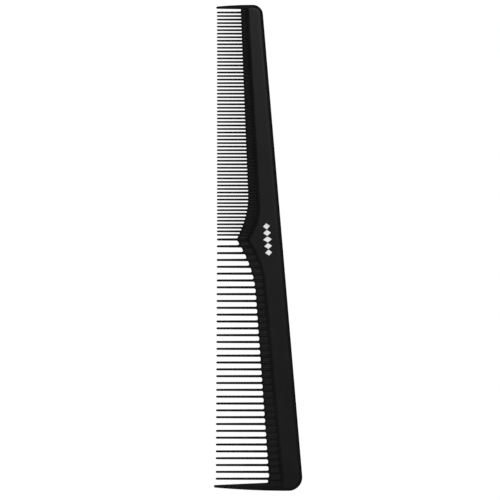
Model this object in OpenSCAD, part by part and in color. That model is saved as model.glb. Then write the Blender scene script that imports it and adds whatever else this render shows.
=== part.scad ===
// Tapered cutting comb, moulded in one piece: a thick spine, a ribbed web and two runs of teeth.
// It lies flat. +Y is the narrow end, -Y the wide end, -X the tooth tips, +X the back edge,
// and the underside is at z = 0. The origin is the middle of the underside's box.

/* [Overall] */
// Overall length
comb_len = 180; // [150:1:220]
// Depth at the wide end, from the end tooth's tip to the back edge
heel_depth = 32.75; // [28:0.25:40]
// Depth at the narrow end, from the fine tips to the back edge
toe_depth = 17.1; // [14.2:0.1:20.6]
// Thickness of the spine
spine_t = 3.4; // [2.8:0.1:4.2]

/* [Spine] */
// Corner radius of the back edge at the wide end
heel_corner_r = 5.1; // [4.2:0.1:6.2]
// Corner radius of the back edge at the narrow end
toe_corner_r = 3.8; // [3.1:0.1:4.6]
// Distance from the back edge to the end of the flat face, at the wide end
face_w_heel = 7.7; // [6.4:0.05:9.25]
// The same distance where the two runs of teeth meet, without the point between them
face_w_mid = 8.1; // [6.8:0.05:9.75]
// The same distance at the narrow end
face_w_toe = 5.7; // [4.7:0.1:6.9]
// Distance from the back edge to the point of the face between the two runs
face_w_peak = 12.7; // [10.6:0.1:14]

/* [Web] */
// Thickness of the ribs where they meet the spine
rib_t = 2.9; // [2.5:0.1:3.4]
// Thickness of the web at the bottom of its pockets
web_t = 1.8; // [1.5:0.05:2.2]
// Distance from the back edge to the slot ends at the wide end
coarse_root_w_heel = 12.4; // [10.4:0.1:14.9]
// Distance from the back edge to the coarse slot ends at the middle
coarse_root_w_mid = 11.2; // [10:0.1:13.4]
// Distance from the back edge to the fine slot ends at the middle
fine_root_w_mid = 11.9; // [10:0.1:14.3]
// Distance from the back edge to the slot ends at the narrow end
fine_root_w_toe = 8.0; // [7:0.1:9.6]
// Distance from the back edge to the point of the web between the two runs
root_w_peak = 16.9; // [15.2:0.1:20]
// Distance that the slot beside the wide end tooth stops short of the other slots' line
heel_slot_inset = 0.5; // [0.3:0.05:0.7]
// Fillet in the corners of a coarse slot
coarse_fillet_r = 0.5; // [0.3:0.05:0.75]
// Fillet in the corners of a fine slot
fine_fillet_r = 0.22; // [0.1:0.01:0.26]

/* [Teeth] */
// Distance from the wide end to the first coarse tooth
coarse_run = 93.1; // [78:0.1:112]
// Pitch of the coarse teeth, rounded to fill their run
coarse_pitch = 2.53; // [2.5:0.01:3.1]
// Width of a coarse tooth at its root
coarse_w = 0.94; // [0.78:0.01:1.13]
// Width of a coarse tooth at its tip
coarse_tip_w = 0.8; // [0.6:0.01:0.94]
// Pitch of the fine teeth, rounded to fill their run
fine_pitch = 1.307; // [1.27:0.001:1.6]
// Width of a fine tooth at its root
fine_w = 0.8; // [0.66:0.01:0.96]
// Width of a fine tooth at its tip
fine_tip_w = 0.68; // [0.56:0.01:0.8]
// Gap between the last fine tooth and the first coarse tooth
change_gap = 0.83; // [0.65:0.01:1]
// Thickness of every tooth at its tip
tip_t = 1.0; // [0.8:0.05:1.3]
// Distance of the fine tips behind the wide end tooth's tip
fine_setback = 1.1; // [0.8:0.05:1.4]
// Distance of the last coarse tip behind the wide end tooth's tip
heel_setback = 0.6; // [0.4:0.05:0.8]

/* [End teeth] */
// Root width of the end tooth at the wide end
heel_guard_w = 3.04; // [2.5:0.02:3.7]
// Tip width of the end tooth at the wide end
heel_guard_tip_w = 1; // [0.8:0.05:1.2]
// Bow radius of the wide end
heel_bow_r = 310; // [250:10:450]
// Gap between the wide end tooth and the last coarse tooth, at the root
heel_gap = 1; // [0.8:0.01:1.3]
// Root width of the end tooth at the narrow end
toe_guard_w = 1.64; // [1.3:0.02:2]
// Tip width of the end tooth at the narrow end
toe_guard_tip_w = 0.9; // [0.7:0.05:1.1]
// Bow radius of the narrow end
toe_bow_r = 140; // [110:5:250]
// Gap between the narrow end tooth and the first fine tooth, at the root
toe_gap = 0.82; // [0.7:0.01:1]
// Distance of the narrow end tooth's tip behind the wide end tooth's tip
toe_guard_setback = 0.85; // [0.6:0.05:1.1]

/* [Mark] */
// Width of the widest diamond of the printed mark
mark_w = 3.2; // [2.6:0.1:3.8]
// Length of the row of diamonds
mark_len = 12; // [10:0.5:14]
// Number of diamonds
mark_n = 5; // [3:2:7]
// Clear space between two diamonds
mark_gap = 0.2; // [0.1:0.05:0.5]
// Thickness of the printed ink
mark_t = 0.05; // [0.04:0.01:0.1]
// Distance from the back edge to the middle of the mark
mark_inset = 5.4; // [4.6:0.1:6]

/* [Hidden] */
$fn = 64;

plastic_black = [0.05, 0.05, 0.055];
ink_white = [0.93, 0.93, 0.93];

// How far along the comb the points of the face and of the web reach
face_reach_toe = 12;
face_reach_heel = 16;
root_reach_toe = 17;
root_reach_heel = 20;
// Rounding of the point of the face between the two runs
face_nose_r = 0.3;
// Steps that draw a curved stretch of the face's edge, and a quarter turn of a fillet
curve_steps = 8;
arc_steps = 4;
// Largest share of a slot's width that one fillet may take
fillet_share = 0.45;
// Length of tooth that stays with the web past its slot fillets
root_lap = 0.2;
// Fineness of the corners and of the half-round edge, and steps along a bowed end
corner_fn = 72;
edge_fn = 24;
bow_steps = 5;
// Thickness of the discs that carry the half-round edge round a bowed end
disc_h = 0.01;
// Part of its width that a diamond loses at each step from the middle of the mark
mark_taper = 0.1;
// Distance by which cutting shapes run past what they cut
over = 1;

half_len = comb_len / 2;
half_depth = heel_depth / 2;
edge_r = spine_t / 2;
mid_z = spine_t / 2;
change_y = coarse_run - half_len;
fine_tip_x = fine_setback - half_depth;
coarse_tip_x = heel_setback - half_depth;

// Centres of the two back corners, and the direction that the back edge between them faces
heel_c = [half_depth - heel_corner_r, heel_corner_r - half_len];
toe_c = [fine_tip_x + toe_depth - toe_corner_r, half_len - toe_corner_r];
corner_gap = toe_c - heel_c;
back_a = atan2(corner_gap.y, corner_gap.x)
    - acos((heel_corner_r - toe_corner_r) / norm(corner_gap));
back_n = [cos(back_a), sin(back_a)];
back_reach = heel_c * back_n + heel_corner_r;

// Inner edges of the two end teeth
toe_in_y = half_len - toe_guard_w;
heel_in_y = heel_guard_w - half_len;

// Each run of teeth is counted down from the narrow end and fills its length evenly
fine_top_y = toe_in_y - toe_gap - fine_w / 2;
fine_low_y = change_y + coarse_w / 2 + change_gap + fine_w / 2;
coarse_low_y = heel_in_y + heel_gap + coarse_w / 2;
fine_n = round((fine_top_y - fine_low_y) / fine_pitch) + 1;
coarse_n = round((change_y - coarse_low_y) / coarse_pitch) + 1;
fine_step = (fine_top_y - fine_low_y) / (fine_n - 1);
coarse_step = (change_y - coarse_low_y) / (coarse_n - 1);
function fine_y(i) = fine_top_y - i * fine_step;
function coarse_y(i) = change_y - i * coarse_step;

function lerp(a, b, t) = a + (b - a) * t;
function arc(c, r, from, to, steps = arc_steps) =
    [for (i = [0 : steps]) let (a = lerp(from, to, i / steps)) c + r * [cos(a), sin(a)]];

// Back edge at y
function back_x(y) = (back_reach - y * back_n.y) / back_n.x;
// 0 where the two runs of teeth meet, 1 at either end of the comb
function run_t(y) = y > change_y ? (y - change_y) / (half_len - change_y)
    : (change_y - y) / (half_len + change_y);
// 1 where the two runs meet, 0 beyond the reach; round_r rounds the point between them
function peak_t(y, reach, round_r = 0) =
    pow(max(0, 1 - (norm([y - change_y, round_r]) - round_r) / reach), 2);

// Edge of the spine's flat face at y
function face_x(y) = let (
    end = y > change_y ? face_w_toe : face_w_heel,
    reach = y > change_y ? face_reach_toe : face_reach_heel,
    peak = (face_w_peak - face_w_mid) * peak_t(y, reach, face_nose_r)
) back_x(y) - lerp(face_w_mid, end, run_t(y)) - peak;

// Line that the slots end on, at y
function root_x(y) = let (
    mid = y > change_y ? fine_root_w_mid : coarse_root_w_mid,
    end = y > change_y ? fine_root_w_toe : coarse_root_w_heel,
    reach = y > change_y ? root_reach_toe : root_reach_heel
) back_x(y) - lerp(mid, end, run_t(y)) - (root_w_peak - mid) * peak_t(y, reach);

// Line of the tips at y: straight along the fine run, flaring out along the coarse run
function tip_x(y) = y > change_y ? fine_tip_x : lerp(fine_tip_x, coarse_tip_x, run_t(y));

// A slot between two neighbours, as [lower side, upper side, x of its end, fillet, slant of its end]
function slot(low, high, r, inset = 0) = [
    low, high, root_x((low + high) / 2) - inset, min(r, fillet_share * (high - low)),
    atan2(root_x(low) - root_x(high), high - low)
];
fine_slots = [
    slot(fine_top_y + fine_w / 2, toe_in_y, fine_fillet_r),
    for (i = [1 : fine_n - 1])
        slot(fine_y(i) + fine_w / 2, fine_y(i - 1) - fine_w / 2, fine_fillet_r),
    slot(change_y + coarse_w / 2, fine_low_y - fine_w / 2, fine_fillet_r)
];
coarse_slots = [
    for (i = [1 : coarse_n - 1])
        slot(coarse_y(i) + coarse_w / 2, coarse_y(i - 1) - coarse_w / 2, coarse_fillet_r),
    slot(heel_in_y, coarse_low_y - coarse_w / 2, coarse_fillet_r, heel_slot_inset)
];
// Centres of a slot's two fillets
function fillet_c(s, y) = [s[2] - (s[3] + sin(s[4]) * (y - (s[0] + s[1]) / 2)) / cos(s[4]), y];
function low_fillet_c(s) = fillet_c(s, s[0] + s[3]);
function high_fillet_c(s) = fillet_c(s, s[1] - s[3]);
// Where a tooth between two slots leaves the web
function split_x(above, below) = min(low_fillet_c(above).x, high_fillet_c(below).x) - root_lap;
fine_splits = [for (i = [0 : fine_n - 1]) split_x(fine_slots[i], fine_slots[i + 1])];
coarse_splits = [
    split_x(fine_slots[fine_n], coarse_slots[0]),
    for (i = [1 : coarse_n - 1]) split_x(coarse_slots[i - 1], coarse_slots[i])
];

// Outline of a slot's end, from its lower side up to its upper side
function slot_end(s) = concat(
    arc(low_fillet_c(s), s[3], -90, s[4]),
    arc(high_fillet_c(s), s[3], s[4], 90));
// Outline of the stub of a tooth, from its lower side up to its upper side
function stub_end(x, y, w) = [[x, y - w / 2], [x, y + w / 2]];

// Edge of the face from one height down to another, drawn in steps where it curves
function face_line(high, low) = [
    for (y = concat(
        [high],
        [for (i = [curve_steps : -1 : 0]) change_y + face_reach_toe * i / curve_steps],
        [for (i = [1 : curve_steps]) change_y - face_reach_heel * i / curve_steps],
        [low]
    )) if (y <= high && y >= low) [face_x(y), y]
];

// Distance from the middle of the comb to a bowed end, at x
function bow_y(x, corner_x, bow_r) = half_len - bow_r + sqrt(pow(bow_r, 2) - pow(x - corner_x, 2));

// Half-round ring that makes one corner of the back
module corner_ring(c, r) {
    translate([c.x, c.y, mid_z]) rotate_extrude($fn = corner_fn)
        translate([r - edge_r, 0]) intersection() {
            circle(r = edge_r, $fn = edge_fn);
            translate([0, -edge_r]) square([edge_r, spine_t]);
        }
}

// Discs that carry the half-round edge along one bowed end; side is 1 at the narrow end
module bow_discs(side, corner_x, bow_r) {
    for (i = [1 : bow_steps]) {
        x = lerp(corner_x, -half_depth - over, i / bow_steps);
        translate([x, side * (bow_y(x, corner_x, bow_r) - edge_r), mid_z])
            rotate([0, 90, 0]) cylinder(r = edge_r, h = disc_h, center = true, $fn = edge_fn);
    }
}

// Full-thickness slab with a half-round back and ends, not yet cut to the teeth
module slab() {
    hull() {
        corner_ring(heel_c, heel_corner_r);
        corner_ring(toe_c, toe_corner_r);
        bow_discs(-1, heel_c.x, heel_bow_r);
        bow_discs(1, toe_c.x, toe_bow_r);
    }
}

// One tooth with its rib from the side: thickness t from root_end_x on, down to a round nose
module blade(low, high, root_end_x, end_x, t) {
    nose_r = tip_t / 2;
    translate([0, high, 0]) rotate([90, 0, 0]) linear_extrude(high - low) union() {
        polygon([
            [end_x + nose_r, mid_z - nose_r], [root_end_x, mid_z - t / 2],
            [half_depth, mid_z - t / 2], [half_depth, mid_z + t / 2],
            [root_end_x, mid_z + t / 2], [end_x + nose_r, mid_z + nose_r]
        ]);
        translate([end_x + nose_r, mid_z]) circle(r = nose_r);
    }
}

// One tooth from its stub to its round tip
module tooth(y, from_x, w, tip_w) {
    end_x = tip_x(y);
    intersection() {
        blade(y - w / 2, y + w / 2, face_x(y), end_x, rib_t);
        linear_extrude(spine_t) union() {
            polygon([
                [from_x, y - w / 2], [from_x, y + w / 2],
                [end_x + tip_w / 2, y + tip_w / 2], [end_x + tip_w / 2, y - tip_w / 2]
            ]);
            translate([end_x + tip_w / 2, y]) circle(d = tip_w);
        }
    }
}

// Web between two heights, cut to its outline, with a rib for each tooth
module ribbed_web(high, low, outline, ribs, rib_w) {
    intersection() {
        linear_extrude(spine_t) polygon(outline);
        union() {
            translate([-half_depth, low, mid_z - web_t / 2])
                cube([heel_depth, high - low, web_t]);
            for (y = ribs) blade(y - rib_w / 2, y + rib_w / 2, face_x(y), tip_x(y), rib_t);
        }
    }
}

// End tooth cut from the slab; side is 1 at the narrow end and -1 at the wide end
module end_tooth(side, in_y, foot_x, end_x, end_w, corner_x, bow_r) {
    r = end_w / 2;
    face_end_x = face_x(in_y);
    tip_c = [end_x + r, side * (bow_y(end_x + r, corner_x, bow_r) - r)];
    past = side * (half_len + over);
    intersection() {
        slab();
        blade(-half_len - over, half_len + over, face_end_x, end_x, spine_t);
        linear_extrude(spine_t) polygon(concat(
            [[face_end_x, in_y], [foot_x, in_y]],
            arc(tip_c, r, -90 * side, -270 * side, 2 * arc_steps),
            [[tip_c.x + over, past], [face_end_x, past]]
        ));
    }
}

// The thick back of the comb, from the half-round edge to the end of the flat face
module spine() {
    toe_end = [face_x(toe_in_y), half_len + over];
    heel_end = [face_x(heel_in_y), -half_len - over];
    color(plastic_black) intersection() {
        slab();
        linear_extrude(spine_t) polygon(concat(
            [toe_end], face_line(toe_in_y, heel_in_y),
            [heel_end, [half_depth + over, heel_end.y], [half_depth + over, toe_end.y]]
        ));
    }
}

// Web of the fine run: pockets between the ribs, and the round ends of the fine slots
module fine_root_band() {
    low = change_y + coarse_w / 2;
    outline = concat(
        face_line(toe_in_y, low),
        [for (i = [fine_n - 1 : -1 : 0]) each concat(
            slot_end(fine_slots[i + 1]), stub_end(fine_splits[i], fine_y(i), fine_w))],
        slot_end(fine_slots[0])
    );
    color(plastic_black)
        ribbed_web(toe_in_y, low, outline, [for (i = [0 : fine_n - 1]) fine_y(i)], fine_w);
}

// Web of the coarse run: wider pockets, and the filleted ends of the coarse slots
module coarse_root_band() {
    high = change_y + coarse_w / 2;
    outline = concat(
        face_line(high, heel_in_y),
        [for (i = [coarse_n - 1 : -1 : 0]) each concat(
            slot_end(coarse_slots[i]), stub_end(coarse_splits[i], coarse_y(i), coarse_w))]
    );
    color(plastic_black)
        ribbed_web(high, heel_in_y, outline, [for (i = [0 : coarse_n - 1]) coarse_y(i)], coarse_w);
}

// The fine teeth, each one a solid of its own
module fine_teeth() {
    color(plastic_black)
        for (i = [0 : fine_n - 1]) tooth(fine_y(i), fine_splits[i], fine_w, fine_tip_w);
}

// The coarse teeth, each one a solid of its own
module coarse_teeth() {
    color(plastic_black)
        for (i = [0 : coarse_n - 1]) tooth(coarse_y(i), coarse_splits[i], coarse_w, coarse_tip_w);
}

// The thin end tooth that guards the fine run
module narrow_end_tooth() {
    color(plastic_black) end_tooth(1, toe_in_y, high_fillet_c(fine_slots[0]).x,
        toe_guard_setback - half_depth, toe_guard_tip_w, toe_c.x, toe_bow_r);
}

// The stout end tooth that guards the coarse run
module wide_end_tooth() {
    color(plastic_black) end_tooth(-1, heel_in_y, low_fillet_c(coarse_slots[coarse_n - 1]).x,
        -half_depth, heel_guard_tip_w, heel_c.x, heel_bow_r);
}

// Plain row of diamonds printed on the upper face
module printed_mark() {
    mid = (mark_n - 1) / 2;
    one_len = (mark_len - (mark_n - 1) * mark_gap) / mark_n;
    color(ink_white) translate([back_x(change_y) - mark_inset, change_y, spine_t]) rotate(back_a)
        for (i = [0 : mark_n - 1]) {
            w = mark_w * (1 - mark_taper * abs(i - mid));
            translate([0, (i - mid) * (one_len + mark_gap), 0]) linear_extrude(mark_t)
                polygon([[w / 2, 0], [0, one_len / 2], [-w / 2, 0], [0, -one_len / 2]]);
        }
}

spine();
fine_root_band();
coarse_root_band();
fine_teeth();
coarse_teeth();
narrow_end_tooth();
wide_end_tooth();
printed_mark();
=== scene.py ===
import math

import bmesh
import bpy
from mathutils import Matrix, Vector


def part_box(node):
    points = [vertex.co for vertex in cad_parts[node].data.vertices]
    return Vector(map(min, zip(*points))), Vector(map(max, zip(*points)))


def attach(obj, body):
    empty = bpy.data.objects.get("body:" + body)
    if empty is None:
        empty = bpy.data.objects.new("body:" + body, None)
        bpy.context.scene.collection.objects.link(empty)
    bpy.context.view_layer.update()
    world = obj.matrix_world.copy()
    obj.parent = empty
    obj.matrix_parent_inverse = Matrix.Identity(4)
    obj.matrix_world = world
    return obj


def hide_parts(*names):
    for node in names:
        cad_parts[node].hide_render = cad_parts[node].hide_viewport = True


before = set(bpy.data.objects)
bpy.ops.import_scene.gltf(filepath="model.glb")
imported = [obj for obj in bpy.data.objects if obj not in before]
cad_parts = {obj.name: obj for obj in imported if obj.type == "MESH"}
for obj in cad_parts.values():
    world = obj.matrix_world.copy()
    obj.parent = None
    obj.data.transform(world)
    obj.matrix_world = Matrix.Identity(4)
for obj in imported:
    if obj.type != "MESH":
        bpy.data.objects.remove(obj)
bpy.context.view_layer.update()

MM = 0.001

# Corners, bowed ends and face of the spine
HEEL_CORNER_R = 5.1
TOE_CORNER_R = 3.8
HEEL_BOW_R = 310.0
TOE_BOW_R = 140.0
TOE_DEPTH = 17.1
FACE_W_HEEL, FACE_W_MID, FACE_W_TOE, FACE_W_PEAK = 6.9, 7.3, 4.9, 11.9
FACE_REACH_TOE, FACE_REACH_HEEL = 12.0, 16.0
FACE_NOSE_R = 0.3

# Web behind the teeth
COARSE_ROOT_W_HEEL, COARSE_ROOT_W_MID = 12.4, 11.2
FINE_ROOT_W_MID, FINE_ROOT_W_TOE = 11.9, 8.0
ROOT_W_PEAK = 16.9
ROOT_REACH_TOE, ROOT_REACH_HEEL = 17.0, 20.0
HEEL_SLOT_INSET = 0.5
RIB_T, WEB_T = 2.9, 1.8
ROLL_W = 1.6            # width of the shoulder that rolls from the face down to the ribs
POCKET_START, POCKET_W = 0.3, 0.9       # where a pocket's end begins past the face, and its width
RIB_SIDE_IN, RIB_SIDE_OUT = 0.30, 0.26      # the side of a rib, inside and outside its width

# Teeth
FINE_N, COARSE_N = 64, 36
FINE_W, FINE_TIP_W = 0.8, 0.68
COARSE_W, COARSE_TIP_W = 0.94, 0.8
FINE_FILLET_R, COARSE_FILLET_R = 0.22, 0.5
FILLET_SHARE = 0.45     # most of a slot's width that one fillet takes
ROOT_LAP = 0.2          # how far a rib reaches past the slots' fillets, where its tooth begins
TIP_T = 1.0
EDGE_R = 0.44           # rounding of the tooth and slot edges, from the top face to the mid-plane
EDGE_SHARE = 0.9        # most of a tooth's half width that the rounding takes
GUARD_EDGE_SHARE = 0.45
TOE_GUARD_TIP_W, HEEL_GUARD_TIP_W = 0.9, 1.0

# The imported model's own places
SPINE_LOW, SPINE_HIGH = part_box("spine")
FINE_LOW, FINE_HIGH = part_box("fine_teeth")
COARSE_LOW, COARSE_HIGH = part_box("coarse_teeth")
TOE_GUARD_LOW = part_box("narrow_end_tooth")[0]
HEEL_GUARD_LOW, HEEL_GUARD_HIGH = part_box("wide_end_tooth")
MARK_LOW, MARK_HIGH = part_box("printed_mark")

SPINE_T = (SPINE_HIGH.z - SPINE_LOW.z) / MM
MID_Z = SPINE_T / 2
RIM_R = SPINE_T / 2
HALF_LEN = (SPINE_HIGH.y - SPINE_LOW.y) / MM / 2
FINE_TIP_X = FINE_LOW.x / MM
COARSE_TIP_X = COARSE_LOW.x / MM
TOE_IN_Y = TOE_GUARD_LOW.y / MM
HEEL_IN_Y = HEEL_GUARD_HIGH.y / MM
FINE_TOP_Y = FINE_HIGH.y / MM - FINE_W / 2
FINE_LOW_Y = FINE_LOW.y / MM + FINE_W / 2
CHANGE_Y = COARSE_HIGH.y / MM - COARSE_W / 2
COARSE_LOW_Y = COARSE_LOW.y / MM + COARSE_W / 2

HEEL_C = (SPINE_HIGH.x / MM - HEEL_CORNER_R, HEEL_CORNER_R - HALF_LEN)
TOE_C = (FINE_TIP_X + TOE_DEPTH - TOE_CORNER_R, HALF_LEN - TOE_CORNER_R)
CORNER_GAP = (TOE_C[0] - HEEL_C[0], TOE_C[1] - HEEL_C[1])
BACK_A = math.atan2(CORNER_GAP[1], CORNER_GAP[0]) - math.acos(
    (HEEL_CORNER_R - TOE_CORNER_R) / math.hypot(*CORNER_GAP))
BACK_N = (math.cos(BACK_A), math.sin(BACK_A))
BACK_REACH = HEEL_C[0] * BACK_N[0] + HEEL_C[1] * BACK_N[1] + HEEL_CORNER_R


# ---------------------------------------------------------------- shape of the comb

def lerp(a, b, t):
    return a + (b - a) * t


def smooth(t):
    """0 below 0, 1 above 1, level at both ends."""
    t = min(max(t, 0.0), 1.0)
    return t * t * (3 - 2 * t)


def rounding(t):
    """Quarter ellipse: 0 at the edge, 1 from t = 1 on."""
    t = min(max(t, 0.0), 1.0)
    return math.sqrt(t * (2 - t))


def back_x(y):
    """Straight back edge."""
    return (BACK_REACH - y * BACK_N[1]) / BACK_N[0]


def run_t(y):
    """0 where the two runs of teeth meet, 1 at either end."""
    if y > CHANGE_Y:
        return (y - CHANGE_Y) / (HALF_LEN - CHANGE_Y)
    return (CHANGE_Y - y) / (HALF_LEN + CHANGE_Y)


def peak_t(y, reach, round_r=0.0):
    """1 where the two runs meet, 0 beyond the reach; round_r rounds the point between them."""
    return max(0.0, 1 - (math.hypot(y - CHANGE_Y, round_r) - round_r) / reach) ** 2


def face_x(y):
    """Edge of the spine's flat face."""
    end, reach = (FACE_W_TOE, FACE_REACH_TOE) if y > CHANGE_Y else (FACE_W_HEEL, FACE_REACH_HEEL)
    peak = (FACE_W_PEAK - FACE_W_MID) * peak_t(y, reach, FACE_NOSE_R)
    return back_x(y) - lerp(FACE_W_MID, end, run_t(y)) - peak


def root_x(y):
    """Line that the slots end on."""
    if y > CHANGE_Y:
        mid, end, reach = FINE_ROOT_W_MID, FINE_ROOT_W_TOE, ROOT_REACH_TOE
    else:
        mid, end, reach = COARSE_ROOT_W_MID, COARSE_ROOT_W_HEEL, ROOT_REACH_HEEL
    return back_x(y) - lerp(mid, end, run_t(y)) - (ROOT_W_PEAK - mid) * peak_t(y, reach)


def tip_x(y):
    """Line of the tips: straight along the fine run, flaring along the coarse run."""
    return FINE_TIP_X if y > CHANGE_Y else lerp(FINE_TIP_X, COARSE_TIP_X, run_t(y))


def bow_distance(x, y, side):
    """Distance in from the bowed narrow end (side 1) or wide end (side -1)."""
    corner, r = (TOE_C[0], TOE_BOW_R) if side > 0 else (HEEL_C[0], HEEL_BOW_R)
    return r - math.hypot(x - corner, y * side - (HALF_LEN - r))


def bow_y(x, side):
    """Height of the bowed end on that side."""
    corner, r = (TOE_C[0], TOE_BOW_R) if side > 0 else (HEEL_C[0], HEEL_BOW_R)
    return side * (HALF_LEN - r + math.sqrt(r * r - (x - corner) ** 2))


def outer_distance(x, y):
    """Distance in from the back edge and the two ends."""
    for c, r, low, high in ((HEEL_C, HEEL_CORNER_R, -math.pi / 2, BACK_A),
                            (TOE_C, TOE_CORNER_R, BACK_A, math.pi / 2)):
        away = math.hypot(x - c[0], y - c[1])
        if away > 0 and low <= math.atan2(y - c[1], x - c[0]) <= high:
            return r - away
    back = BACK_REACH - x * BACK_N[0] - y * BACK_N[1]
    return min(back, bow_distance(x, y, 1), bow_distance(x, y, -1))


def spine_half(x, y):
    """Half thickness of the full-height spine with its half-round edge."""
    return SPINE_T / 2 * rounding(outer_distance(x, y) / RIM_R)


class Slot:
    """The open space between two neighbouring teeth; its end slants with the web's outline."""

    def __init__(self, low, high, fillet, inset=0.0):
        self.low, self.high = low, high
        self.mid = (low + high) / 2
        self.r = min(fillet, FILLET_SHARE * (high - low))
        self.slant = math.atan2(root_x(low) - root_x(high), high - low)
        self.end = root_x(self.mid) - inset
        self.low_c = self.fillet_c(low + self.r)
        self.high_c = self.fillet_c(high - self.r)

    def fillet_c(self, y):
        """Centre of a fillet whose centre lies at y."""
        back = (self.r + math.sin(self.slant) * (y - self.mid)) / math.cos(self.slant)
        return (self.end - back, y)

    def foot_x(self, y):
        """Where the fillets begin, from one side of the slot to the other."""
        t = (y - self.low_c[1]) / (self.high_c[1] - self.low_c[1])
        return lerp(self.low_c[0], self.high_c[0], min(max(t, 0.0), 1.0))

    def away(self, x, y):
        """Distance from the slot into the plastic."""
        (lx, ly), (hx, hy) = self.low_c, self.high_c
        if ly <= y <= hy and x <= self.foot_x(y):
            return -self.r
        t = ((x - lx) * (hx - lx) + (y - ly) * (hy - ly)) / ((hx - lx) ** 2 + (hy - ly) ** 2)
        t = min(max(t, 0.0), 1.0)
        end = math.hypot(x - lerp(lx, hx, t), y - lerp(ly, hy, t))
        low = math.hypot(max(x - lx, 0.0), y - ly)
        high = math.hypot(max(x - hx, 0.0), y - hy)
        return min(end, low, high) - self.r

    def end_x(self, y):
        """Where the slot ends, at y."""
        y = min(max(y, self.low), self.high)
        turn = self.r * math.sin(self.slant)
        if self.low_c[1] + turn <= y <= self.high_c[1] + turn:
            return self.end - math.tan(self.slant) * (y - self.mid)
        cx, cy = self.low_c if y < self.low_c[1] + turn else self.high_c
        return cx + math.sqrt(max(self.r ** 2 - (y - cy) ** 2, 0.0))


class Tooth:
    """One tooth and the rib that carries it back to the spine."""

    def __init__(self, y, w, tip_w):
        self.y, self.w, self.tip_w = y, w, tip_w
        self.tip = tip_x(y)
        self.face = face_x(y)

    def side(self, y):
        return abs(y - self.y) - self.w / 2

    def top(self, x, y):
        t = (x - self.tip) / (self.face - self.tip)
        return lerp(TIP_T / 2, RIB_T / 2, min(max(t, 0.0), 1.0))


class Guard:
    """One of the two end teeth; side is 1 at the narrow end and -1 at the wide end."""

    def __init__(self, side, in_y, tip, tip_w):
        self.sign, self.in_y, self.tip, self.tip_w = side, in_y, tip, tip_w
        self.r = tip_w / 2
        self.face = face_x(in_y)
        self.tip_c = (tip + self.r, bow_y(tip + self.r, side) - side * self.r)
        self.slot = None
        self.foot = None

    def place_beside(self, slot):
        self.slot = slot
        self.foot = (slot.high_c if self.sign > 0 else slot.low_c)[0]

    def side(self, y):
        return (self.in_y - y) * self.sign

    def inner_y(self, x):
        """Inner edge: level beside the web, then slanting to the tip."""
        t = (self.foot - x) / (self.foot - self.tip_c[0])
        return lerp(self.in_y, self.tip_c[1] - self.sign * self.r, min(max(t, 0.0), 1.0))

    def top(self, x, y):
        t = min(max((x - self.tip) / (self.face - self.tip), 0.0), 1.0)
        reach = bow_distance(x, y, self.sign)
        if x < self.tip_c[0]:
            reach = self.r - math.hypot(x - self.tip_c[0], y - self.tip_c[1])
        return lerp(TIP_T / 2, SPINE_T / 2, t) * rounding(reach / lerp(self.r, RIM_R, t))


def body_half(x, y, solid, slot):
    """Half thickness of the web beside one slot, on the side of one tooth or end tooth."""
    top = solid.top(x, y)
    past = face_x(min(max(y, HEEL_IN_Y), TOE_IN_Y)) - x
    rib = lerp(spine_half(x, y), top, smooth(past / ROLL_W))
    pocket = smooth((x - slot.foot_x(y)) / slot.r)
    pocket *= smooth((solid.side(y) + RIB_SIDE_IN) / (RIB_SIDE_IN + RIB_SIDE_OUT))
    pocket *= smooth((past - POCKET_START) / POCKET_W)
    return lerp(rib, min(rib, WEB_T / 2), pocket) * rounding(slot.away(x, y) / EDGE_R)


# ---------------------------------------------------------------- mesh making

def spread(n):
    """n + 1 numbers from 0 to 1, closest together at both ends."""
    return [(1 - math.cos(math.pi * i / n)) / 2 for i in range(n + 1)]


def add_sheet(bm, grid):
    """Upper and lower skin over a grid of (x, y, half thickness)."""
    for sign in (1, -1):
        rows = [[bm.verts.new((x * MM, y * MM, (MID_Z + sign * h) * MM)) for x, y, h in row]
                for row in grid]
        for a, b in zip(rows, rows[1:]):
            for i in range(len(a) - 1):
                bm.faces.new((a[i], a[i + 1], b[i + 1], b[i]))


def add_wall(bm, line):
    """Upright wall under a line of (x, y, half thickness), where a piece meets its neighbour."""
    rows = [[bm.verts.new((x * MM, y * MM, (MID_Z + sign * h) * MM)) for x, y, h in line]
            for sign in (1, -1)]
    for i in range(len(line) - 1):
        bm.faces.new((rows[0][i], rows[0][i + 1], rows[1][i + 1], rows[1][i]))


def finish_piece(name, bm, nodes, material, sharp_deg=50):
    """Welds the skins into one closed mesh and puts it in the scene under the root body."""
    bmesh.ops.remove_doubles(bm, verts=bm.verts, dist=WELD * MM)
    bmesh.ops.dissolve_degenerate(bm, edges=bm.edges, dist=WELD * MM)
    bmesh.ops.recalc_face_normals(bm, faces=bm.faces)
    mesh = bpy.data.meshes.new(name)
    bm.to_mesh(mesh)
    bm.free()
    for p in mesh.polygons:
        p.use_smooth = True
    mesh.set_sharp_from_angle(angle=math.radians(sharp_deg))
    mesh.materials.append(material)
    piece = bpy.data.objects.new(name, mesh)
    bpy.context.scene.collection.objects.link(piece)
    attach(piece, "root")
    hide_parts(*nodes)
    return piece


WELD = 0.0004       # points closer together than this become one
# Fineness of the web's mesh
RIB_COLUMNS = 10
SLOT_ARC_COLUMNS = 6
SLOT_FLAT_COLUMNS = 2
ROLL_ROWS = 7
POCKET_ROWS = 5
EDGE_ROWS = 6
STUB_ROWS = 3


def web_rows(face, end):
    """Rows of x from the face's edge to a slot's end, close together where the surface turns."""
    roll = [face - ROLL_W * i / ROLL_ROWS for i in range(ROLL_ROWS)]
    pocket = [lerp(face - ROLL_W, end + EDGE_R, i / POCKET_ROWS) for i in range(POCKET_ROWS)]
    edge = [end + EDGE_R * (1 - math.sin(math.pi / 2 * i / EDGE_ROWS)) for i in range(EDGE_ROWS + 1)]
    return roll + pocket + edge


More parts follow.
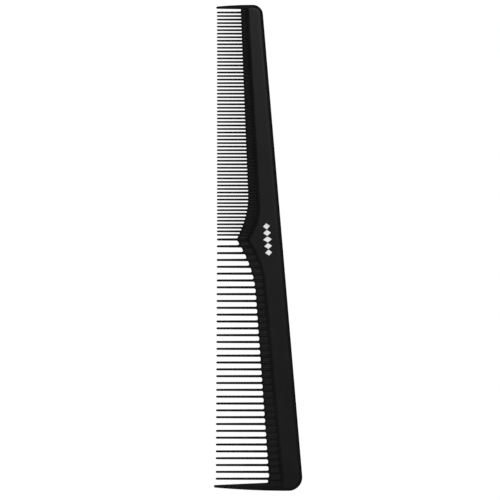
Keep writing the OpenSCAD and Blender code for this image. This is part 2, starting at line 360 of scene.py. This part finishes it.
def rib_grid(tooth, above, below, split):
    """Columns across one rib, from its lower side to its upper side."""
    grid = []
    for t in spread(RIB_COLUMNS):
        y = tooth.y + tooth.w * (t - 0.5)
        slot = above if y > tooth.y else below
        join = lerp(below.high_c[0], above.low_c[0], t)
        rows = web_rows(face_x(y), join)
        rows += [lerp(join, split, (i + 1) / STUB_ROWS) for i in range(STUB_ROWS)]
        grid.append([(x, y, body_half(x, y, tooth, slot)) for x in rows])
    return grid


def slot_columns(slot):
    """Heights of the columns across a slot's end: both fillets, and the flat between them."""
    low = [slot.low_c[1] + slot.r * math.sin(lerp(-math.pi / 2, slot.slant, i / SLOT_ARC_COLUMNS))
           for i in range(SLOT_ARC_COLUMNS + 1)]
    high = [slot.high_c[1] + slot.r * math.sin(lerp(slot.slant, math.pi / 2, i / SLOT_ARC_COLUMNS))
            for i in range(SLOT_ARC_COLUMNS + 1)]
    flat = [lerp(low[-1], high[0], i / SLOT_FLAT_COLUMNS) for i in range(1, SLOT_FLAT_COLUMNS)]
    return low + flat + high


def slot_grid(slot, under, over):
    """Columns behind one slot, from the tooth under it to the tooth over it."""
    grid = []
    for y in slot_columns(slot):
        solid = over if y > slot.mid else under
        grid.append([(x, y, body_half(x, y, solid, slot))
                     for x in web_rows(face_x(y), slot.end_x(y))])
    return grid


def add_web(bm, grids):
    """Joins the grids of one web, with walls against the spine, the teeth and both ends."""
    for grid in grids:
        add_sheet(bm, grid)
        add_wall(bm, [column[0] for column in grid])
        if len(grid) == RIB_COLUMNS + 1:
            add_wall(bm, [column[-1] for column in grid])
    add_wall(bm, grids[0][0])
    add_wall(bm, grids[-1][-1])


# Fineness of a tooth's mesh
TOOTH_ROWS = 16
TOOTH_TIP_ROWS = 7


def add_tooth(bm, tooth, split):
    """One tooth from the web to its round tip, as its own closed solid."""
    r = tooth.tip_w / 2
    tip_c = tooth.tip + r
    grid = []
    for i in range(TOOTH_ROWS + TOOTH_TIP_ROWS + 1):
        turn = math.pi / 2 * max(0, i - TOOTH_ROWS) / TOOTH_TIP_ROWS
        x = lerp(split, tip_c, min(i, TOOTH_ROWS) / TOOTH_ROWS) - r * math.sin(turn)
        half = lerp(tooth.w, tooth.tip_w, (split - x) / (split - tip_c)) / 2
        if x < tip_c:
            half = r
        reach = half * math.cos(turn)
        row = []
        for t in spread(RIB_COLUMNS):
            across = reach * (2 * t - 1)
            inside = half - (math.hypot(x - tip_c, across) if x < tip_c else abs(across))
            edge = rounding(inside / min(EDGE_R, EDGE_SHARE * half))
            row.append((x, tooth.y + across, tooth.top(x, tooth.y) * edge))
        grid.append(row)
    add_sheet(bm, grid)
    add_wall(bm, grid[0])


# ---------------------------------------------------------------- layout of the teeth

TOE_GUARD = Guard(1, TOE_IN_Y, TOE_GUARD_LOW.x / MM, TOE_GUARD_TIP_W)
HEEL_GUARD = Guard(-1, HEEL_IN_Y, HEEL_GUARD_LOW.x / MM, HEEL_GUARD_TIP_W)
FINE = [Tooth(lerp(FINE_TOP_Y, FINE_LOW_Y, i / (FINE_N - 1)), FINE_W, FINE_TIP_W)
        for i in range(FINE_N)]
COARSE = [Tooth(lerp(CHANGE_Y, COARSE_LOW_Y, i / (COARSE_N - 1)), COARSE_W, COARSE_TIP_W)
          for i in range(COARSE_N)]


LOW_SIDES = [TOE_IN_Y] + [t.y - t.w / 2 for t in FINE + COARSE]
HIGH_SIDES = [t.y + t.w / 2 for t in FINE + COARSE]
FINE_SLOTS = [Slot(low, high, FINE_FILLET_R)
              for low, high in zip(HIGH_SIDES[:FINE_N + 1], LOW_SIDES)]
COARSE_SLOTS = [Slot(low, high, COARSE_FILLET_R)
                for low, high in zip(HIGH_SIDES[FINE_N + 1:], LOW_SIDES[FINE_N + 1:])]
COARSE_SLOTS.append(Slot(HEEL_IN_Y, LOW_SIDES[-1], COARSE_FILLET_R, HEEL_SLOT_INSET))
TOE_GUARD.place_beside(FINE_SLOTS[0])
HEEL_GUARD.place_beside(COARSE_SLOTS[-1])
ALL_SLOTS = FINE_SLOTS + COARSE_SLOTS
SPLITS = [min(above.low_c[0], below.high_c[0]) - ROOT_LAP
          for above, below in zip(ALL_SLOTS, ALL_SLOTS[1:])]
FINE_SPLITS, COARSE_SPLITS = SPLITS[:FINE_N], SPLITS[FINE_N:]


# ---------------------------------------------------------------- pieces

# Fineness of the spine's mesh
RIM_COLUMNS = 10
FACE_COLUMNS = 5
BACK_ROWS = 360
CORNER_ROWS = 14
BOW_ROWS = 5
RIM_REACH = 1.03    # how far the rounded edge's columns go, as a share of its radius
FAN_DROP = 2.4      # how far the fan of rows round a corner reaches along the face's edge
RIM_SHARE = 0.75    # most of a short row that the rounded edge takes
LIP = 0.05          # lap of the spine over the web's edge, so that no light shows in between


def spine_outline():
    """Outer line of the spine, with the height on the face's edge that each point is joined to."""
    toe_face, heel_face = face_x(TOE_IN_Y), face_x(HEEL_IN_Y)
    toe = [(x, bow_y(x, 1)) for x in (lerp(toe_face, TOE_C[0], i / BOW_ROWS) for i in range(BOW_ROWS))]
    for i in range(CORNER_ROWS + 1):
        a = lerp(math.pi / 2, BACK_A, i / CORNER_ROWS)
        toe.append((TOE_C[0] + TOE_CORNER_R * math.cos(a), TOE_C[1] + TOE_CORNER_R * math.sin(a)))
    heel = []
    for i in range(CORNER_ROWS + 1):
        a = lerp(BACK_A, -math.pi / 2, i / CORNER_ROWS)
        heel.append((HEEL_C[0] + HEEL_CORNER_R * math.cos(a),
                     HEEL_C[1] + HEEL_CORNER_R * math.sin(a)))
    heel += [(x, bow_y(x, -1))
             for x in (lerp(HEEL_C[0], heel_face, (i + 1) / BOW_ROWS) for i in range(BOW_ROWS))]
    back = [(back_x(y), y)
            for y in (lerp(toe[-1][1], heel[0][1], i / BACK_ROWS) for i in range(1, BACK_ROWS))]
    toe_low, heel_high = TOE_IN_Y - FAN_DROP, HEEL_IN_Y + FAN_DROP
    heights = [lerp(TOE_IN_Y, toe_low, i / (len(toe) - 1)) for i in range(len(toe))]
    heights += [lerp(toe_low, heel_high, (i + 1) / BACK_ROWS) for i in range(len(back))]
    heights += [lerp(heel_high, HEEL_IN_Y, i / (len(heel) - 1)) for i in range(len(heel))]
    return toe + back + heel, heights


def make_spine(material):
    """Thick back of the comb: flat faces, half-round edge, rounded corners."""
    bm = bmesh.new()
    grid = []
    for (ox, oy), y in zip(*spine_outline()):
        ix = face_x(y) - LIP
        share = min(RIM_R * RIM_REACH / math.hypot(ix - ox, y - oy), RIM_SHARE)
        steps = [share * (1 - math.cos(math.pi / 2 * i / RIM_COLUMNS)) for i in range(RIM_COLUMNS)]
        steps += [lerp(share, 1, i / FACE_COLUMNS) for i in range(FACE_COLUMNS + 1)]
        row = [(lerp(ox, ix, t), lerp(oy, y, t)) for t in steps]
        grid.append([(px, py, spine_half(px, py) if k else 0.0) for k, (px, py) in enumerate(row)])
    add_sheet(bm, grid)
    add_wall(bm, [row[-1] for row in grid])
    add_wall(bm, grid[0])
    add_wall(bm, grid[-1])
    return finish_piece("spine_moulding", bm, ["spine"], material)


def make_fine_web(material):
    """Web of the fine run, from its lowest slot up, with a slot at each end."""
    bm = bmesh.new()
    overs = [TOE_GUARD] + FINE
    unders = FINE + [COARSE[0]]
    grids = []
    for i in range(FINE_N, -1, -1):
        grids.append(slot_grid(FINE_SLOTS[i], unders[i], overs[i]))
        if i:
            grids.append(rib_grid(FINE[i - 1], FINE_SLOTS[i - 1], FINE_SLOTS[i], FINE_SPLITS[i - 1]))
    add_web(bm, grids)
    return finish_piece("fine_web", bm, ["fine_root_band"], material)


def make_coarse_web(material):
    """Web of the coarse run, from its lowest slot up; its topmost rib has a fine slot above it."""
    bm = bmesh.new()
    unders = COARSE[1:] + [HEEL_GUARD]
    aboves = [FINE_SLOTS[-1]] + COARSE_SLOTS
    grids = []
    for i in range(COARSE_N - 1, -1, -1):
        grids.append(slot_grid(COARSE_SLOTS[i], unders[i], COARSE[i]))
        grids.append(rib_grid(COARSE[i], aboves[i], COARSE_SLOTS[i], COARSE_SPLITS[i]))
    add_web(bm, grids)
    return finish_piece("coarse_web", bm, ["coarse_root_band"], material)


def make_teeth(name, node, teeth, splits, material):
    """A row of teeth, each one closed."""
    bm = bmesh.new()
    for tooth, split in zip(teeth, splits):
        add_tooth(bm, tooth, split)
    return finish_piece(name, bm, [node], material)


# Fineness of an end tooth's mesh
GUARD_WEB_ROWS = 14
GUARD_ROWS = 30
GUARD_COLUMNS = 14


def make_guard(name, node, guard, material):
    """End tooth: level with the spine at its root, thin and round at its tip."""
    bm = bmesh.new()
    foot = guard.foot
    xs = [lerp(guard.face, foot, i / GUARD_WEB_ROWS) for i in range(GUARD_WEB_ROWS)]
    xs += [lerp(foot, guard.tip_c[0], i / GUARD_ROWS) for i in range(GUARD_ROWS)]
    rows = [(x, guard.inner_y(x), bow_y(x, guard.sign)) for x in xs]
    for i in range(TOOTH_TIP_ROWS + 1):
        turn = math.pi / 2 * i / TOOTH_TIP_ROWS
        reach = guard.sign * guard.r * math.cos(turn)
        rows.append((guard.tip_c[0] - guard.r * math.sin(turn),
                     guard.tip_c[1] - reach, guard.tip_c[1] + reach))
    grid = []
    for x, inner, outer in rows:
        row = []
        for t in spread(GUARD_COLUMNS):
            y = lerp(inner, outer, t)
            if x > foot:
                half = body_half(x, y, guard, guard.slot)
            else:
                width = max(abs(outer - inner), 2 * guard.r)
                inside = abs(y - inner) if x >= guard.tip_c[0] else (
                    guard.r - math.hypot(x - guard.tip_c[0], y - guard.tip_c[1]))
                half = guard.top(x, y) * rounding(inside / min(EDGE_R, GUARD_EDGE_SHARE * width))
            row.append((x, y, 0.0 if t == 1 else half))
        grid.append(row)
    add_sheet(bm, grid)
    add_wall(bm, grid[0])
    add_wall(bm, [row[0] for row in grid])
    return finish_piece(name, bm, [node], material)


MARK_N = 5
MARK_W, MARK_LEN, MARK_GAP = 3.2, 12.0, 0.2
MARK_TAPER = 0.1
INK_BEVEL = 0.03


def make_mark(material):
    """Row of plain diamonds, printed along the middle of the face."""
    bm = bmesh.new()
    low, high = MARK_LOW / MM, MARK_HIGH / MM
    mid = (low + high) / 2
    one_len = (MARK_LEN - (MARK_N - 1) * MARK_GAP) / MARK_N
    along, across = Vector((-BACK_N[1], BACK_N[0])), Vector(BACK_N)
    for i in range(MARK_N):
        step = i - (MARK_N - 1) / 2
        half_w = MARK_W / 2 * (1 - MARK_TAPER * abs(step))
        c = mid.to_2d() + along * step * (one_len + MARK_GAP)
        rings = []
        for z, inset in ((low.z, 0.0), (high.z - INK_BEVEL, 0.0), (high.z, INK_BEVEL)):
            w, l = half_w - inset, one_len / 2 - inset
            corners = (c + across * w, c + along * l, c - across * w, c - along * l)
            rings.append([bm.verts.new((p.x * MM, p.y * MM, z * MM)) for p in corners])
        for a, b in zip(rings, rings[1:]):
            for k in range(4):
                bm.faces.new((a[k], a[(k + 1) % 4], b[(k + 1) % 4], b[k]))
        bm.faces.new(rings[-1])
        bm.faces.new(list(reversed(rings[0])))
    return finish_piece("mark_print", bm, ["printed_mark"], material, sharp_deg=30)


# ---------------------------------------------------------------- materials

# Noise scales count the features in a metre; a bump is its strength and its height in metres
CLOUD_SCALE, FLOW_SCALE, STREAK_SCALE, GRAIN_SCALE = 60, 700, 2500, 5200
FLOW_STRETCH, STREAK_STRETCH = (1, 0.02, 1), (1, 0.06, 1)
FLOW_BUMP, STREAK_BUMP, GRAIN_BUMP = (0.3, 0.00002), (0.3, 0.00001), (0.12, 0.00001)
PLASTIC_DARK, PLASTIC_PALE = (0.0052, 0.0052, 0.0054), (0.0070, 0.0070, 0.0073)
PLASTIC_ROUGH, FLOW_ROUGH = (0.24, 0.31), (0.0, 0.05)
PLASTIC_IOR = 1.5
INK_PATCH_SCALE, INK_GRAIN_SCALE = 900, 9000
INK_THIN, INK_FULL = (0.78, 0.78, 0.78), (0.95, 0.95, 0.95)
INK_ROUGH = (0.45, 0.65)
INK_BUMP = (0.2, 0.00001)


def new_material(name):
    material = bpy.data.materials.new(name)
    material.use_nodes = True
    tree = material.node_tree
    shader = tree.nodes["Principled BSDF"]
    coords = tree.nodes.new("ShaderNodeTexCoord")
    return material, tree, shader, coords


def noise(tree, coords, scale, detail=3.0, stretch=(1, 1, 1)):
    mapping = tree.nodes.new("ShaderNodeMapping")
    mapping.inputs["Scale"].default_value = stretch
    node = tree.nodes.new("ShaderNodeTexNoise")
    node.inputs["Scale"].default_value = scale
    node.inputs["Detail"].default_value = detail
    tree.links.new(coords.outputs["Object"], mapping.inputs["Vector"])
    tree.links.new(mapping.outputs["Vector"], node.inputs["Vector"])
    return node.outputs["Fac"]


def to_range(tree, value, low, high, start=0.3, end=0.7):
    node = tree.nodes.new("ShaderNodeMapRange")
    node.inputs["From Min"].default_value = start
    node.inputs["From Max"].default_value = end
    node.inputs["To Min"].default_value = low
    node.inputs["To Max"].default_value = high
    tree.links.new(value, node.inputs["Value"])
    return node.outputs["Result"]


def add_values(tree, a, b):
    node = tree.nodes.new("ShaderNodeMath")
    node.operation = "ADD"
    tree.links.new(a, node.inputs[0])
    tree.links.new(b, node.inputs[1])
    return node.outputs[0]


def add_bump(tree, height, strength, distance, normal=None):
    node = tree.nodes.new("ShaderNodeBump")
    node.inputs["Strength"].default_value = strength
    node.inputs["Distance"].default_value = distance
    tree.links.new(height, node.inputs["Height"])
    if normal:
        tree.links.new(normal, node.inputs["Normal"])
    return node.outputs["Normal"]


def ramp(tree, value, stops):
    node = tree.nodes.new("ShaderNodeValToRGB")
    for element, (place, colour) in zip(node.color_ramp.elements, stops):
        element.position = place
        element.color = (*colour, 1)
    tree.links.new(value, node.inputs["Fac"])
    return node.outputs["Color"]


def comb_plastic():
    """Black moulded plastic: flow lines along the comb, fine grain."""
    material, tree, shader, coords = new_material("comb_plastic")
    cloud = noise(tree, coords, CLOUD_SCALE, 4)
    flow = noise(tree, coords, FLOW_SCALE, 3, FLOW_STRETCH)
    streak = noise(tree, coords, STREAK_SCALE, 2, STREAK_STRETCH)
    grain = noise(tree, coords, GRAIN_SCALE, 2)
    colour = ramp(tree, cloud, ((0.35, PLASTIC_DARK), (0.65, PLASTIC_PALE)))
    tree.links.new(colour, shader.inputs["Base Color"])
    rough = add_values(tree, to_range(tree, cloud, *PLASTIC_ROUGH), to_range(tree, flow, *FLOW_ROUGH))
    tree.links.new(rough, shader.inputs["Roughness"])
    normal = add_bump(tree, flow, *FLOW_BUMP)
    normal = add_bump(tree, streak, *STREAK_BUMP, normal)
    normal = add_bump(tree, grain, *GRAIN_BUMP, normal)
    tree.links.new(normal, shader.inputs["Normal"])
    shader.inputs["IOR"].default_value = PLASTIC_IOR
    return material


def white_ink():
    """Thin matte ink, a little uneven, as a pad leaves it."""
    material, tree, shader, coords = new_material("white_ink")
    patch = noise(tree, coords, INK_PATCH_SCALE, 4)
    grain = noise(tree, coords, INK_GRAIN_SCALE, 2)
    colour = ramp(tree, patch, ((0.3, INK_THIN), (0.6, INK_FULL)))
    tree.links.new(colour, shader.inputs["Base Color"])
    tree.links.new(to_range(tree, patch, *INK_ROUGH), shader.inputs["Roughness"])
    tree.links.new(add_bump(tree, grain, *INK_BUMP), shader.inputs["Normal"])
    return material


# ---------------------------------------------------------------- studio

FRAME_SIDE = 0.18515        # width that the picture takes in, level with the comb's mid-plane
FRAME_SHIFT = (-0.0030, -0.0008)        # middle of the picture, from the comb's middle
LENS, SENSOR = 250.0, 36.0
CLIP_START, CLIP_END = 0.01, 20
FLOOR_HALF, FLOOR_DROP = 3.0, 0.00005
FLOOR_COLOUR = (0.02, 0.02, 0.02, 1)
WHITE = (1, 1, 1, 1)
# Ceiling panels that the faces mirror, brighter towards the narrow end: name, low y, high y, radiance
PANEL_X, PANEL_Z, PANEL_W = 0.165, 0.45, 0.40
PANELS = (("panel_heel", -0.40, -0.02, 0.13), ("panel_middle", -0.02, 0.09, 0.26),
          ("panel_toe", 0.09, 0.24, 0.72), ("panel_far", 0.24, 0.42, 1.30))
# Low panels all round, which show the comb's form from the sides
SIDE_N, SIDE_AWAY, SIDE_H, SIDE_RADIANCE = 4, 0.9, 0.65, 0.12
# Large light that whitens the ink and shows in no reflection
KEY_PLACE, KEY_SIZE, KEY_RADIANCE = (-0.10, -0.15, 0.9), (1.2, 1.2), 2.0
WORLD_STRENGTH = 0.01


def make_camera():
    """Camera straight above the comb, with a long lens."""
    data = bpy.data.cameras.new("camera")
    data.lens, data.sensor_width = LENS, SENSOR
    data.clip_start, data.clip_end = CLIP_START, CLIP_END
    camera = bpy.data.objects.new("camera", data)
    bpy.context.scene.collection.objects.link(camera)
    away = FRAME_SIDE * LENS / SENSOR
    camera.location = (*FRAME_SHIFT, away + MID_Z * MM)
    bpy.context.scene.camera = camera


def make_floor():
    """White floor, bright by itself, which lights nothing and shows in no reflection."""
    mesh = bpy.data.meshes.new("floor")
    corners = [(x * FLOOR_HALF, y * FLOOR_HALF, -FLOOR_DROP)
               for x, y in ((-1, -1), (1, -1), (1, 1), (-1, 1))]
    mesh.from_pydata(corners, [], [(0, 1, 2, 3)])
    floor = bpy.data.objects.new("floor", mesh)
    bpy.context.scene.collection.objects.link(floor)
    material = bpy.data.materials.new("floor")
    material.use_nodes = True
    shader = material.node_tree.nodes["Principled BSDF"]
    shader.inputs["Base Color"].default_value = FLOOR_COLOUR
    shader.inputs["Roughness"].default_value = 1.0
    shader.inputs["Specular IOR Level"].default_value = 0.0
    shader.inputs["Emission Color"].default_value = WHITE
    shader.inputs["Emission Strength"].default_value = 1.0
    mesh.materials.append(material)
    floor.visible_glossy = False
    floor.visible_diffuse = False


def softbox(name, location, target, size, radiance):
    """Rectangular light of an even brightness, facing its target."""
    data = bpy.data.lights.new(name, "AREA")
    data.shape = "RECTANGLE"
    data.size, data.size_y = size
    data.energy = radiance * math.pi * size[0] * size[1]
    light = bpy.data.objects.new(name, data)
    light.location = location
    aim = Vector(target) - Vector(location)
    light.rotation_euler = aim.to_track_quat("-Z", "Y").to_euler()
    light.visible_camera = False
    bpy.context.scene.collection.objects.link(light)
    return light


def make_lights():
    """Ceiling and side panels, the key light and a dim world."""
    for name, low_y, high_y, radiance in PANELS:
        y = (low_y + high_y) / 2
        softbox(name, (PANEL_X, y, PANEL_Z), (PANEL_X, y, 0.0), (PANEL_W, high_y - low_y), radiance)
    for i in range(SIDE_N):
        turn = math.tau * i / SIDE_N
        place = (SIDE_AWAY * math.cos(turn), SIDE_AWAY * math.sin(turn), SIDE_H / 2)
        softbox(f"side_{i}", place, (0.0, 0.0, SIDE_H / 2), (2 * SIDE_AWAY, SIDE_H), SIDE_RADIANCE)
    key = softbox("key", KEY_PLACE, (0.0, 0.0, 0.0), KEY_SIZE, KEY_RADIANCE)
    key.visible_glossy = False
    world = bpy.data.worlds.new("world")
    bpy.context.scene.world = world
    world.use_nodes = True
    background = world.node_tree.nodes["Background"]
    background.inputs["Color"].default_value = WHITE
    background.inputs["Strength"].default_value = WORLD_STRENGTH
    bpy.context.scene.view_settings.view_transform = "Standard"


make_camera()
make_floor()
make_lights()
plastic = comb_plastic()
make_spine(plastic)
make_fine_web(plastic)
make_coarse_web(plastic)
make_teeth("fine_teeth_row", "fine_teeth", FINE, FINE_SPLITS, plastic)
make_teeth("coarse_teeth_row", "coarse_teeth", COARSE, COARSE_SPLITS, plastic)
make_guard("narrow_guard", "narrow_end_tooth", TOE_GUARD, plastic)
make_guard("wide_guard", "wide_end_tooth", HEEL_GUARD, plastic)
make_mark(white_ink())
